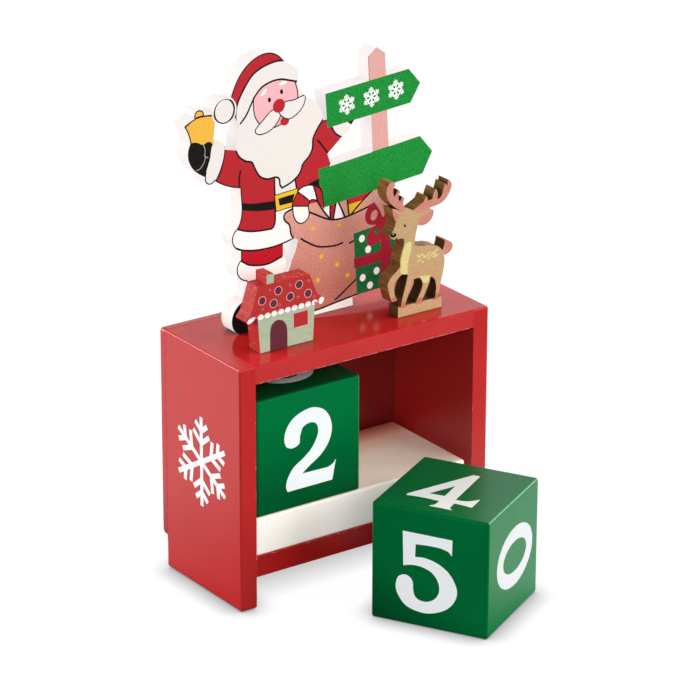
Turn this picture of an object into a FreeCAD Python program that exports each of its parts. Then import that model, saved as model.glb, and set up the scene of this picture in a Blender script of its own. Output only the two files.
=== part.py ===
"""Wooden advent calendar: an open case on two side-board legs, with a loose bar and two loose
number cubes, and three fretsawn figures standing on its top. Millimetres, +Z up, front towards -Y."""
import FreeCAD
import Part
import math
import os

Vec = FreeCAD.Vector

# Loose pieces: the bar lies on the bottom board, one cube stands on it and one on the table
cube_edge = 40.0
cube_radius = 1.0
bar_height = 13.0
bar_radius = 0.8
loose_cube_turn = 29.2
loose_cube_centre_x = 11.0
loose_cube_corner_gap = 6.0

# Room that the bay leaves round them
bar_side_gap = 0.2
bar_end_gap = 2.5
cube_side_gap = 0.4
spare_width = 5.0
headroom = 6.0
front_setback = 0.4
rear_gap = 2.1

# Case: two full-height side boards that form the legs, a top and a bottom board between them,
# and a thin panel planted on the back
side_thickness = 6.0
top_thickness = 6.0
bottom_thickness = 7.0
back_thickness = 3.0
leg_height = 11.0
case_edge_radius = 0.6
foot_radius = 1.2
back_drop = 1.0
back_top_radius = 1.2
back_foot_radius = 3.0

# Figures: sheet thickness, and how far each front face stands behind the front of the case
santa_thickness = 6.0
santa_setback = 26.0
house_thickness = 6.0
house_setback = 8.5
deer_thickness = 5.0
deer_setback = 8.5
post_width = 6.6
sign_tilt = 4.2
foot_strip_height = 2.4
deer_base_height = 3.6

# The figures are drawn in squares on one sheet, which lies centred on the case
sheet_width = 97.0
squares_across = 97
arc_tolerance = 0.1

# Fasteners: headless brads of flat wire, set below the surface and filled over
brad_width = 1.2
brad_thickness = 1.0
brad_length = 16.0
back_brad_length = 12.0
brad_cover = 0.6
brad_inset = 5.0
back_brad_height_inset = 19.0
back_brad_spacing = 40.0
foot_brad_bite = 3.0
brad_clearance = 0.02

# The case is sized round two cubes side by side, and a cube standing on the bar
bay_width = 2 * cube_edge + spare_width
case_width = bay_width + 2 * side_thickness
board_depth = front_setback + cube_edge + rear_gap
case_depth = board_depth + back_thickness
bay_floor = leg_height + bottom_thickness
bar_top = bay_floor + bar_height
top_underside = bar_top + cube_edge + headroom
case_height = top_underside + top_thickness
bar_length = bay_width - bar_side_gap - bar_end_gap
square = sheet_width / squares_across
turn = math.radians(loose_cube_turn)
corner_reach = cube_edge * (math.cos(turn) + math.sin(turn)) / 2
loose_cube_centre_y = -loose_cube_corner_gap - corner_reach


def box(low, high):
    """A box between two corners."""
    size = [b - a for a, b in zip(low, high)]
    return Part.makeBox(size[0], size[1], size[2], Vec(*low))


def rounded(shape, radius, wanted=None):
    """The shape with the wanted edges rounded, or with all of them."""
    edges = [e for e in shape.Edges if wanted is None or wanted(e.BoundBox)]
    return shape.makeFillet(radius, edges)


def near(a, b):
    return abs(a - b) < 1e-6


# Case boards
def outer_edge(bounds):
    """True for an edge that lies on two outer faces of the case."""
    faces = (
        near(bounds.XMin, bounds.XMax) and near(abs(bounds.XMin), case_width / 2),
        near(bounds.YMin, bounds.YMax) and near(bounds.YMin, 0),
        near(bounds.ZMin, bounds.ZMax) and near(bounds.ZMin, case_height),
    )
    return sum(faces) == 2


def foot_edge(bounds):
    return near(bounds.ZMax, 0)


def side_board(side):
    """side is -1 for the left board and 1 for the right one."""
    inner = side * bay_width / 2
    outer = side * case_width / 2
    board = box((min(inner, outer), 0, 0), (max(inner, outer), board_depth, case_height))
    return rounded(rounded(board, case_edge_radius, outer_edge), foot_radius, foot_edge)


def shelf(low, high):
    """A board between the two sides; only the top one has an edge on the outside of the case."""
    board = box((-bay_width / 2, 0, low), (bay_width / 2, board_depth, high))
    return rounded(board, case_edge_radius, outer_edge) if near(high, case_height) else board


def back_board():
    """The back panel: it hangs below the bottom board, its corners are rounded and its rear arris eased."""
    foot = leg_height - back_drop
    panel = box((-case_width / 2, board_depth, foot), (case_width / 2, case_depth, case_height))
    for radius, z in ((back_foot_radius, foot), (back_top_radius, case_height)):
        panel = rounded(panel, radius, lambda b: near(b.YMax - b.YMin, back_thickness) and near(b.ZMin, z))
    return rounded(panel, case_edge_radius, lambda b: near(b.YMin, case_depth))


# Flat figures: drawn in the sheet's squares, x from its left edge and z up from the figures' feet
def at(x, z):
    return Vec(x, 0, z) * square


def outline(start, *stretches):
    """A closed wire. A stretch of one point is a straight cut, and of more points a run of arcs."""
    edges = []
    here = start
    for stretch in stretches:
        points = [at(x, z) for x, z in [here, *stretch]]
        if len(points) == 2:
            edges.append(Part.LineSegment(*points).toShape())
        else:
            curve = Part.BSplineCurve()
            curve.interpolate(points)
            edges += [arc.toShape() for arc in curve.toBiArcs(arc_tolerance)]
        here = stretch[-1]
    return Part.Wire(edges)


def polygon(*points):
    return outline(points[0], *[[p] for p in points[1:]], [points[0]])


def disc(x, z, radius):
    return Part.Wire([Part.makeCircle(radius * square, at(x, z), Vec(0, 1, 0))])


def arrow_board(x, z, length, height, tip, tilt):
    """A sign board with a pointed right end; x, z is its lower left corner."""
    half = height / 2
    board = polygon((0, 0), (length, 0), (length + tip, half), (length, height), (0, height))
    board.rotate(Vec(0, 0, 0), Vec(0, -1, 0), tilt)
    board.translate(at(x, z))
    return board


def slab(wire, thickness):
    return Part.Face(wire).extrude(Vec(0, thickness, 0))


def sawn(outlines, thickness, setback):
    """One sawn sheet: the outlines joined, set down on the top of the case."""
    slabs = [slab(wire, thickness) for wire in outlines]
    sheet = slabs[0].multiFuse(slabs[1:]).removeSplitter()
    sheet.translate(Vec(-sheet_width / 2, setback, case_height))
    return sheet.Solids[0]


def raised_arm():
    """Sleeve, cuff and mitten of the arm that holds the bell up."""
    return outline((0, 67), [(-1, 64), (-0.5, 60.5), (2, 57.2), (5.2, 55)],
                   [(5.4, 53.2), (6.6, 52.2), (8.7, 53)], [(13.5, 50.2), (18.4, 48.7)],
                   [(25, 50)], [(23, 58)], [(16.6, 61.5)], [(12.4, 62.6)],
                   [(12.2, 64.3), (10.4, 65.5), (8.4, 65.4)], [(8, 67)], [(0, 67)])


def bell():
    """The bell is held mouth up, so its clapper stands over the rim."""
    return outline((0, 66), [(-0.9, 70), (-2.3, 72.8)], [(3, 75), (9.3, 74.4)], [(8.2, 65)], [(0, 66)])


def head():
    """Hat crown, brim end, side hair and beard."""
    return outline((18.6, 69.6), [(17, 71.2), (16.2, 73.5)], [(14.8, 78.5)],
                   [(16.8, 83.2), (22.2, 89.2), (28.6, 91.1), (34.5, 87.8)],
                   [(38.3, 85.2), (40.6, 82), (39.9, 79.8)], [(41.5, 76.2), (43.8, 73.6)],
                   [(48.2, 70.2), (49.8, 66.5), (47.4, 62)], [(45, 50)], [(25, 50)],
                   [(17, 60.8)], [(17.1, 64.2), (18.6, 69.6)])


def coat():
    """Coat and its hem, with the shoulder behind the upper sign."""
    return outline((18.4, 50), [(18.5, 45), (18.7, 41.5), (16.9, 35.5)],
                   [(15, 31.6), (16.4, 29), (19.5, 27.7)], [(27, 26.5), (33, 26.6), (38.4, 27.7)],
                   [(44, 32)], [(52.7, 50)], [(51.5, 53.6)], [(52, 64)], [(48, 66)], [(22, 58)],
                   [(18.4, 50)])


def far_arm():
    """The other arm, whose mitten reaches behind the upper sign."""
    return outline((48, 56), [(51.5, 53.6)], [(57.2, 58.2)], [(60.1, 59.6)], [(60.8, 61.6)],
                   [(62, 63)], [(60, 65)], [(48, 65)], [(48, 56)])


def leg():
    """Trousers, boot cuff and boot; the sole stands on the top board."""
    return outline((18.3, 30), [(18.3, 24.8)], [(16.8, 22.2), (17.5, 19.2), (20.3, 17.2)],
                   [(20.9, 14.2), (20, 10.8)], [(16.8, 9.2), (14.8, 5.8), (15, 2.4), (17.4, 0)],
                   [(33.4, 0)], [(33, 8), (32.4, 16.7)], [(34.8, 18.5), (35.4, 20.8), (34.3, 22.7)],
                   [(34.4, 30)], [(18.3, 30)])


def sack():
    return outline((38.2, 37.2), [(35.8, 37), (34.8, 35.4), (36, 33.2), (37.4, 30), (40.1, 27)],
                   [(38.9, 23), (35.7, 17.2), (33, 10.5), (33.4, 4), (38, 1.2)],
                   [(48, 1.2), (56, 1.9), (64, 3.2)], [(72, 12)], [(72, 31)],
                   [(67.6, 32.3), (60, 31)], [(38.2, 37.2)])


def santa_plate():
    """The figure, the sack and the signpost, sawn from one sheet with its through-cuts."""
    post_foot, post_head = 73.5, 70.5
    half = post_width / 2 / square
    strip = foot_strip_height / square
    return sawn([
        head(), disc(12.6, 75, 4), bell(), disc(3.2, 75.4, 1.8), raised_arm(), coat(), far_arm(),
        leg(), sack(),
        polygon((38, 34), (40, 45), (50, 46), (72, 40), (72, 29), (50, 29)),
        polygon((61.9, 24.5), (63.3, 3.2), (84, 4.2), (84, 27)),
        disc(70, 29.6, 3.5), disc(77.4, 30.2, 3.5),
        polygon((post_foot - half, 25), (post_foot + half, 25), (post_head + half, 83),
                (post_head, 85.4), (post_head - half, 83)),
        arrow_board(51.5, 62.1, 32.6, 11.5, 4.2, sign_tilt),
        arrow_board(49.4, 35.8, 39.9, 13, 4.4, sign_tilt + 1.2),
        polygon((17.4, 0), (61.6, 0), (61.4, strip), (17.4, strip)),
    ], santa_thickness, santa_setback)


def deer_body():
    """Body, head and legs, going round from the rear hoof."""
    hoof = deer_base_height / 2 / square
    return outline((83, hoof), [(83.2, 5.5), (84.1, 9.5), (85.3, 15), (84.2, 19.5)],
                   [(81.8, 21.5), (77.5, 22.4), (73.3, 23.4)], [(73.5, 26.2), (74.5, 30)],
                   [(77.4, 29.7), (79.6, 30.9), (80.7, 33.8)], [(79, 34.7)], [(76, 35.2)],
                   [(72.8, 35)], [(70.9, 36.3), (69, 36.9)], [(67.4, 36.4)], [(64.4, 37.6)],
                   [(64.8, 35), (65.7, 33)], [(64.9, 30.3), (63.4, 29)],
                   [(63.7, 27.8), (66, 26.9), (69, 26.4)], [(68.9, 24), (67.7, 20.5), (67.8, 17.4)],
                   [(65.3, 15.4), (63.4, 13.5), (62.7, 11.7)], [(63.4, 8.8), (64.4, 5.8)], [(66.7, 6.1)],
                   [(65.4, 9.8), (66.1, 12.4), (68.4, 14.5)], [(70.7, 14)],
                   [(69.7, 10), (68.4, 5.2), (67.8, hoof)], [(70.1, hoof)],
                   [(70.6, 6.3), (72.5, 9.4), (73.1, 11.9)], [(75.4, 11.9)],
                   [(76.6, 9), (75.2, 5.9), (73.8, hoof)], [(76.3, hoof)],
                   [(76.9, 4.9), (78.8, 8.3), (79.6, 11.3)],
                   [(81.1, 10.5), (82, 8.4), (80.4, hoof)], [(83, hoof)])


def left_antler():
    return outline((68.4, 35.8), [(63.9, 39.2), (62.2, 42), (62.3, 45), (63.6, 46.5)],
                   [(64.8, 46.4), (65.4, 45.4)], [(64.6, 43.2), (65.2, 41.4)], [(66.6, 43.5)],
                   [(67.5, 42.7)], [(66.7, 40.2), (67.4, 39.4)], [(68.2, 40.9)], [(69.1, 40.1)],
                   [(68.5, 38.1), (70, 36)], [(68.4, 35.8)])


def right_antler():
    return outline((71.6, 35), [(73.8, 36), (76.8, 37.5)], [(77.3, 38.6), (77.8, 39.2)],
                   [(78.4, 37.4)], [(80.1, 37.7)], [(80.8, 39.8), (81.4, 40.9)],
                   [(82.2, 39.4), (82, 37.3)], [(83.1, 37.4), (84, 38.5)], [(84.6, 40.6), (85.1, 42.1)],
                   [(86, 41)], [(86.3, 43)],
                   [(87.5, 41.8), (87.2, 39.5), (85.5, 36.8), (82.5, 35.4), (79.2, 35)],
                   [(75, 34)], [(73, 33.8)], [(71.6, 35)])


def reindeer():
    """The deer and its base, sawn from one sheet; the lifted front hoof clears the base."""
    tail = outline((83.6, 18.6), [(85, 20.6), (85.3, 22.6)], [(86.7, 22.2), (88.4, 20.8)],
                   [(88, 18.8), (86.4, 17.8), (84.6, 17.6)], [(83.6, 18.6)])
    base_top = deer_base_height / square
    base = polygon((66.9, 0), (84.3, 0), (84.3, base_top), (66.9, base_top))
    return sawn([base, deer_body(), left_antler(), right_antler(), tail], deer_thickness, deer_setback)


def house():
    """A cottage front: leaning walls, a steep roof whose eaves flare out to round ends, and a chimney."""
    roof = outline((13, 22.4), [(10.4, 14.6)], [(9.8, 13.2), (8.8, 12.2)], [(8.7, 11.1), (9.9, 10.8)],
                   [(12.4, 12)], [(34.8, 12.7)], [(36.6, 11.4)], [(37.8, 12.1), (37.9, 13.5)],
                   [(36.1, 14.5), (35, 16)], [(32.4, 22.4)], [(13, 22.4)])
    return sawn([
        polygon((13.6, 0), (33.7, 0), (34.4, 14), (12.5, 14)), roof,
        polygon((16.1, 21), (18.8, 21), (18.8, 25.6), (16.1, 25.6)),
    ], house_thickness, house_setback)


# Loose pieces
def cube(centre_x, front_y, floor):
    low = (centre_x - cube_edge / 2, front_y, floor)
    return rounded(box(low, [v + cube_edge for v in low]), cube_radius)


def cube_in_case():
    """The cube stands on the bar, next to the left board."""
    return cube(-bay_width / 2 + cube_side_gap + cube_edge / 2, front_setback, bar_top)


def cube_on_table():
    """The taken-out cube stands turned on the table, with one corner towards the case."""
    middle = Vec(loose_cube_centre_x, loose_cube_centre_y, 0)
    shape = cube(middle.x, middle.y - cube_edge / 2, 0)
    shape.rotate(middle, Vec(0, 0, 1), loose_cube_turn)
    return shape


def bar():
    left = -bay_width / 2 + bar_side_gap
    high = (left + bar_length, front_setback + cube_edge, bar_top)
    return rounded(box((left, front_setback, bay_floor), high), bar_radius)


# Fasteners, each a start point and a direction
def corner_brads():
    """Two brads through each side board into each end of the top and bottom boards."""
    start_x = case_width / 2 - brad_cover
    heights = (leg_height + bottom_thickness / 2, case_height - top_thickness / 2)
    depths = (brad_inset, board_depth - brad_inset)
    return [((s * start_x, y, z), (-s, 0, 0)) for s in (-1, 1) for z in heights for y in depths]


def back_brads():
    """Two brads through the back panel into each of the four boards."""
    y = case_depth - brad_cover
    side_x = (case_width - side_thickness) / 2
    sides = [(s * side_x, z) for s in (-1, 1)
             for z in (leg_height + back_brad_height_inset, case_height - back_brad_height_inset)]
    shelves = [(s * back_brad_spacing / 2, z) for s in (-1, 1)
               for z in (leg_height + bottom_thickness / 2, case_height - top_thickness / 2)]
    return [((x, y, z), (0, -1, 0)) for x, z in sides + shelves]


def foot_brads():
    """Two brads up through the top board into the foot of each figure."""
    places = {santa_setback + santa_thickness / 2: (24, 50),
              house_setback + house_thickness / 2: (17.5, 30),
              deer_setback + deer_thickness / 2: (69.4, 82)}
    z = top_underside + brad_cover
    return [((x * square - sheet_width / 2, y, z), (0, 0, 1)) for y, xs in places.items() for x in xs]


def brads(places, length, clearance=0):
    """Flat-wire brads that start at places and run along their directions."""
    width = brad_width + 2 * clearance
    thickness = brad_thickness + 2 * clearance
    shapes = []
    for start, along in places:
        brad = Part.makeBox(width, thickness, length, Vec(-width / 2, -thickness / 2, 0))
        brad.Placement = FreeCAD.Placement(Vec(*start), FreeCAD.Rotation(Vec(0, 0, 1), Vec(*along)))
        shapes.append(brad)
    return shapes


def nailed(shape, *brad_sets):
    """The shape with a slot for every brad that enters it."""
    for places, length in brad_sets:
        shape = shape.cut(brads(places, length, brad_clearance))
    return shape.Solids[0]


corner_set = (corner_brads(), brad_length)
back_set = (back_brads(), back_brad_length)
foot_set = (foot_brads(), top_thickness - brad_cover + foot_brad_bite)

nodes = {
    "left_side_board": nailed(side_board(-1), corner_set, back_set),
    "right_side_board": nailed(side_board(1), corner_set, back_set),
    "top_board": nailed(shelf(top_underside, case_height), corner_set, back_set, foot_set),
    "bottom_board": nailed(shelf(leg_height, bay_floor), corner_set, back_set),
    "back_panel": nailed(back_board(), back_set),
    "corner_brads": Part.makeCompound(brads(*corner_set)),
    "back_panel_brads": Part.makeCompound(brads(*back_set)),
    "figure_brads": Part.makeCompound(brads(*foot_set)),
    "santa_signpost_plate": nailed(santa_plate(), foot_set),
    "reindeer": nailed(reindeer(), foot_set),
    "house": nailed(house(), foot_set),
    "white_bar": bar(),
    "cube_in_case": cube_in_case(),
    "cube_on_table": cube_on_table(),
}

# The frame's origin is on the table, at the middle of the footprint of case and cube together
footprint = Part.makeCompound(list(nodes.values())).optimalBoundingBox(False, False)
to_origin = Vec(-footprint.Center.x, -footprint.Center.y, 0)

os.makedirs("parts", exist_ok=True)
for name, shape in nodes.items():
    shape.translate(to_origin)
    shape.exportStep(f"parts/{name}.step")
    print(f"{name}: {len(shape.Solids)} solids, {shape.Volume:.0f} mm3, valid {shape.isValid()}")
size = (footprint.XLength, footprint.YLength, footprint.ZLength)
print("size " + " x ".join(f"{v:.1f}" for v in size), "mm, origin moved by", to_origin)
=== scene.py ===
import bpy
import math
from mathutils import Matrix, Vector
from mathutils.geometry import delaunay_2d_cdt


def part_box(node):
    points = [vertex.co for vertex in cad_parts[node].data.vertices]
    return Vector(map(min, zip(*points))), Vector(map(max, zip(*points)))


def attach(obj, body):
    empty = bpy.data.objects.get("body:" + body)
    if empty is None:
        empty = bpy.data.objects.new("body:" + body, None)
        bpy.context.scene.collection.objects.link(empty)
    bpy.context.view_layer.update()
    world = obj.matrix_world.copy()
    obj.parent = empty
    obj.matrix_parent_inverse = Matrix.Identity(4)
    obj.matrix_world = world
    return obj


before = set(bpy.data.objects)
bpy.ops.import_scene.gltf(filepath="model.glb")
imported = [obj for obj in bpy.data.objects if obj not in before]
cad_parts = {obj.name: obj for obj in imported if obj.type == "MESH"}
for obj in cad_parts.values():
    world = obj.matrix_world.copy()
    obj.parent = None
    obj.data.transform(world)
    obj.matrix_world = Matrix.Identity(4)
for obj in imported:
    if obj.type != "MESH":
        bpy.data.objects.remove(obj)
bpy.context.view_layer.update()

MM = 0.001
CUBE = 40                # edge of a number cube, in millimetres
TABLE_TURN = 29.2        # degrees by which the cube on the table stands turned
PRINT_LIFT = 0.03 * MM   # thickness of a coat of print
SHEET_MIDDLE = 48.5      # where the case's middle lies across the figures' drawings
PEN = 0.62               # width of the printed contours
UP, REARWARD = (0, 0, 1), (0, 1, 0)

case_middle = (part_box("left_side_board")[0].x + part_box("right_side_board")[1].x) / 2
case_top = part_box("right_side_board")[1].z
case_top_mm = case_top / MM


# Camera, from a perspective fit of the case, the cubes and the bar
def make_camera():
    yaw, pitch, roll = (math.radians(a) for a in (35.546, -21.836, 0.199))
    forward = Vector((math.sin(yaw) * math.cos(pitch), math.cos(yaw) * math.cos(pitch), math.sin(pitch)))
    level = Vector((math.cos(yaw), -math.sin(yaw), 0))
    above = level.cross(forward)
    right = level * math.cos(roll) + above * math.sin(roll)
    up = above * math.cos(roll) - level * math.sin(roll)
    data = bpy.data.cameras.new("camera")
    data.sensor_width = 36
    data.lens = 197.625
    data.clip_start, data.clip_end = 0.05, 20
    camera = bpy.data.objects.new("camera", data)
    bpy.context.scene.collection.objects.link(camera)
    turn = Matrix((right, up, -forward)).transposed()
    camera.matrix_world = Matrix.Translation((-0.659454, -0.908180, 0.531223)) @ turn.to_4x4()
    bpy.context.scene.camera = camera


# Materials. The sizes of their patterns are in millimetres. The ribs of the grain, the orange peel
# and the ink dots are finer on the real thing, and are drawn as coarse as they need to show.
DRIFT, FLECK, PEEL = 26, 1.6, 0.55   # patches of tone along a board, worn flecks, orange peel
ARRIS = 0.5                          # how far an eased edge reaches into its faces
BACK_GLOW = 0.12                     # a primed back's glow, as the lamps leave it too dark
COLOURS = {"out": 2, "data_type": "RGBA"}   # makes a Mix node mix its inputs 6 and 7, which are colours


def linear(colour):
    """A #rrggbb colour as linear RGBA."""
    parts = [int(colour[i:i + 2], 16) / 255 for i in (1, 3, 5)]
    return [v / 12.92 if v <= 0.04045 else ((v + 0.055) / 1.055) ** 2.4 for v in parts] + [1]


def add(tree, kind, inputs=(), out=0, **settings):
    """Adds a node with its settings and its inputs, by name or in order, and gives the output out."""
    node = tree.nodes.new("ShaderNode" + kind)
    for key, value in settings.items():
        setattr(node, key, value)
    for key, value in inputs.items() if isinstance(inputs, dict) else enumerate(inputs):
        if isinstance(value, bpy.types.NodeSocket):
            tree.links.new(value, node.inputs[key])
        else:
            node.inputs[key].default_value = value
    return node.outputs[out] if node.outputs else node


def material(name, **shader):
    """A material with its node tree and its shader, whose uniform values are given by input name."""
    made = bpy.data.materials.new(name)
    made.use_nodes = True
    tree = made.node_tree
    principled = tree.nodes["Principled BSDF"]
    for key, value in shader.items():
        principled.inputs[key.replace("_", " ")].default_value = value
    return made, tree, principled


def dress(tree, shader, tone, glow, **links):
    """Links a coat's colour and its other patterns. A pale coat that the lamps leave too dark also
    glows in its colour."""
    for key, socket in {"Base Color": tone, **links}.items():
        tree.links.new(socket, shader.inputs[key.replace("_", " ")])
    if glow:
        tree.links.new(tone, shader.inputs["Emission Color"])
        shader.inputs["Emission Strength"].default_value = glow


def millimetres(tree, stretch=(1, 1, 1), turn=0.0):
    """Object coordinates in millimetres, turned about the vertical, each axis divided by its stretch."""
    spun = add(tree, "Mapping", {"Vector": add(tree, "TexCoord", out="Object"), "Rotation": (0, 0, math.radians(turn))})
    return add(tree, "Mapping", {"Vector": spun, "Scale": [1 / MM / s for s in stretch]})


def eased_arris(tree):
    """1 on the eased arrises, 0 on the flats: how far a rounded normal leaves the face's own."""
    normals = (add(tree, "Bevel", {"Radius": ARRIS * MM}, samples=6), add(tree, "NewGeometry", out="Normal"))
    return add(tree, "MapRange", (add(tree, "VectorMath", normals, "Value", operation="DOT_PRODUCT"), 0.98, 0.8))


def open_arris(tree, plain):
    """0 where the top board's ends meet the sides, as that joint is painted over, and 1 elsewhere."""
    underside, end = case_top_mm - 7, 42.5   # of the 7 mm board, 85 mm long
    x, _, z = add(tree, "SeparateXYZ", (plain,)).node.outputs
    aside = add(tree, "Math", (add(tree, "Math", (x, case_middle / MM), operation="SUBTRACT"),), operation="ABSOLUTE")
    below = add(tree, "MapRange", (z, underside, underside - 0.5))
    inward = add(tree, "MapRange", (aside, end - 1.5, end - 1.8))
    outward = add(tree, "MapRange", (aside, end + 2, end + 2.5))
    return add(tree, "Math", (below, add(tree, "Math", (inward, outward), operation="ADD")), operation="MAXIMUM")


def facing(tree, axis):
    """1 on faces that look along an axis."""
    normal = add(tree, "NewGeometry", out="True Normal")
    return add(tree, "MapRange", (add(tree, "SeparateXYZ", (normal,), axis), 0.85, 0.95))


def paint_occlusion_shade(tree, tone, shade, reach):
    """A tone that turns to a painted shade, if one is given, where other faces stand no more than reach millimetres
    away, as shade falls in corners, recesses and round feet.
    """
    if not shade:
        return tone
    clear = add(tree, "AmbientOcclusion", {"Distance": reach * MM}, "AO", samples=8)
    return add(tree, "Mix", {0: add(tree, "MapRange", (clear, 0.9, 0.35)), 6: tone, 7: linear(shade)}, **COLOURS)


def enamel(name, dark, light, edge, stretch, turn=0.0, roughness=0.3, rib=0.9, depth=0.05, sheen="#FFFFFF",
           painted_shade=None, reach=40, glow=0.0, level=0.5, fleck_onset=0.56, top_level=None):
    """Brushed enamel on wood: the grain stands through as fine ribs, rib apart, the tone drifts a
    little along each board, pale flecks lie on the arrises, paint rubbed through there and a painted
    highlight along them, and orange peel breaks the gloss. Where end grain that looks up drinks the
    paint, top_level gives its weaker gloss, and glow makes the coat glow, a painted light."""
    made, tree, shader = material(name, IOR=1.5, Specular_Tint=linear(sheen), Specular_IOR_Level=level)
    grain, plain = millimetres(tree, stretch, turn), millimetres(tree)
    ribs, polish, drift, flecks, peel = (
        add(tree, "TexNoise", {"Vector": along, "Scale": 1 / size, "Detail": detail, "Roughness": rough})
        for along, size, detail, rough in ((grain, rib, 4, 0.6), (grain, rib * 3, 3, 0.5), (plain, DRIFT, 3, 0.5),
                                           (plain, FLECK, 3, 0.5), (plain, PEEL, 2, 0.5)))
    share = add(tree, "Math", (add(tree, "MapRange", (drift, 0.3, 0.7, 0, 0.6)),
                               add(tree, "MapRange", (ribs, 0.3, 0.7, 0, 0.4))), operation="ADD")
    tone = add(tree, "Mix", {0: share, 6: linear(dark), 7: linear(light)}, **COLOURS)
    # Pale flecks on the arrises: paint rubbed through, and a painted highlight along them
    wear_and_highlight = add(tree, "Math", (eased_arris(tree), add(tree, "MapRange", (flecks, fleck_onset, fleck_onset + 0.12, 0, 0.8))),
               operation="MULTIPLY")
    wear_and_highlight = add(tree, "Math", (wear_and_highlight, open_arris(tree, plain)), operation="MULTIPLY")
    tone = add(tree, "Mix", {0: wear_and_highlight, 6: tone, 7: linear(edge)}, **COLOURS)
    # Painted shade where other faces stand close, when one is given
    tone = paint_occlusion_shade(tree, tone, painted_shade, reach)

    gloss = add(tree, "MapRange", (polish, 0.3, 0.7, roughness - 0.02, roughness + 0.03))
    ribbed = add(tree, "Bump", {"Height": ribs, "Strength": 0.07, "Distance": depth * MM})
    skin = add(tree, "Bump", {"Height": peel, "Strength": 0.12, "Distance": 0.05 * MM, "Normal": ribbed})
    dress(tree, shader, tone, glow, Roughness=gloss, Normal=skin)
    if top_level is not None:
        tree.links.new(add(tree, "MapRange", (facing(tree, "Z"), 0, 1, level, top_level)),
                       shader.inputs["Specular IOR Level"])
    return made


def ink(name, first, second, dot=0.45, roughness=0.5, glow=0.0, painted_shade=None, level=0.25, back=None):
    """Digital print on a primed sheet: ink dots of two tones, dot across, and a matt sheen."""
    made, tree, shader = material(name, Roughness=roughness, IOR=1.45, Specular_IOR_Level=level)
    dots = add(tree, "TexNoise", {"Vector": millimetres(tree), "Scale": 1 / dot, "Detail": 2, "Roughness": 0.6})
    share = add(tree, "MapRange", (dots, 0.36, 0.64))
    tone = add(tree, "Mix", {0: share, 6: linear(first), 7: linear(second)}, **COLOURS)
    # Painted shade where other faces stand close, when one is given
    tone = paint_occlusion_shade(tree, tone, painted_shade, reach=12)
    if back:
        rear = facing(tree, "Y")
        tone = add(tree, "Mix", {0: rear, 6: tone, 7: linear(back)}, **COLOURS)
        tree.links.new(add(tree, "MapRange", (rear, 0, 1, glow, BACK_GLOW)), shader.inputs["Emission Strength"])
    relief = add(tree, "Bump", {"Height": dots, "Strength": 0.1, "Distance": 0.02 * MM})
    dress(tree, shader, tone, glow, Normal=relief)
    return made


def streaked_paint(name, tones, size, stretch, roughness=0.55, painted_shade=None, back=None):
    """Thin paint over bare wood: streaks along the brush, size across, from dark to light tones."""
    made, tree, shader = material(name, Roughness=roughness, IOR=1.45, Specular_IOR_Level=0.22)
    streaks = add(tree, "TexNoise", {"Vector": millimetres(tree, stretch), "Scale": 1 / size, "Detail": 4,
                                     "Roughness": 0.6})
    tone = add(tree, "ValToRGB", (add(tree, "MapRange", (streaks, 0.3, 0.7)),))
    elements = tone.node.color_ramp.elements
    while len(elements) < len(tones):
        elements.new(0.5)
    for i, colour in enumerate(tones):
        elements[i].position = i / (len(tones) - 1)
        elements[i].color = linear(colour)
    # Painted shade where other faces stand close, when one is given
    tone = paint_occlusion_shade(tree, tone, painted_shade, reach=9)
    if back:
        dark, light = (linear(colour) for colour in back)
        figure = add(tree, "TexNoise", {"Vector": millimetres(tree, (1.2, 1, 9)), "Scale": 1 / 0.8, "Detail": 3})
        bare = add(tree, "Mix", {0: figure, 6: dark, 7: light}, **COLOURS)
        tone = add(tree, "Mix", {0: facing(tree, "Y"), 6: tone, 7: bare}, **COLOURS)
    relief = add(tree, "Bump", {"Height": streaks, "Strength": 0.25, "Distance": 0.06 * MM})
    dress(tree, shader, tone, 0, Normal=relief)
    return made


def drawn_wire(name, dark, light):
    """Drawn steel wire, cut into brads: a bare metal sheen, a little uneven."""
    made, tree, shader = material(name, Metallic=1.0)
    polish = add(tree, "TexNoise", {"Vector": millimetres(tree), "Scale": 1 / 0.4})
    share = add(tree, "TexNoise", {"Vector": millimetres(tree), "Scale": 1 / 1.2})
    tone = add(tree, "Mix", {0: share, 6: linear(dark), 7: linear(light)}, **COLOURS)
    dress(tree, shader, tone, 0, Roughness=add(tree, "MapRange", (polish, 0.3, 0.7, 0.25, 0.4)))
    return made


def shade_toward(made, along, start, end, shade):
    """Multiplies a coat's colour, and its glow, by a shade that grows from start to end millimetres along a direction:
    painted light and shade.
    """
    tree = made.node_tree
    shader = tree.nodes["Principled BSDF"]
    place = add(tree, "VectorMath", (millimetres(tree), along), "Value", operation="DOT_PRODUCT")
    tone = shader.inputs["Base Color"].links[0].from_socket
    shaded = add(tree, "Mix", {0: add(tree, "MapRange", (place, start, end)), 6: tone, 7: linear(shade)},
                 **COLOURS, blend_type="MULTIPLY")
    for name in ("Base Color", "Emission Color"):
        if shader.inputs[name].is_linked:
            tree.links.new(shaded, shader.inputs[name])


# Flat drawings, in millimetres on their own sheet
def curve_through(points, step=0.6):
    """Points along a smooth curve through the given ones, ends included."""
    before = tuple(2 * a - b for a, b in zip(points[0], points[1]))
    after = tuple(2 * a - b for a, b in zip(points[-1], points[-2]))
    held = [before, *points, after]
    path = [points[0]]
    for p0, p1, p2, p3 in zip(held, held[1:], held[2:], held[3:]):
        count = max(2, math.ceil(math.dist(p1, p2) / step))
        for i in range(1, count + 1):
            t = i / count
            path.append(tuple(
                (2 * b + (c - a) * t + (2 * a - 5 * b + 4 * c - d) * t ** 2 + (3 * b - a - 3 * c + d) * t ** 3) / 2
                for a, b, c, d in zip(p0, p1, p2, p3)))
    return path


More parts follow.
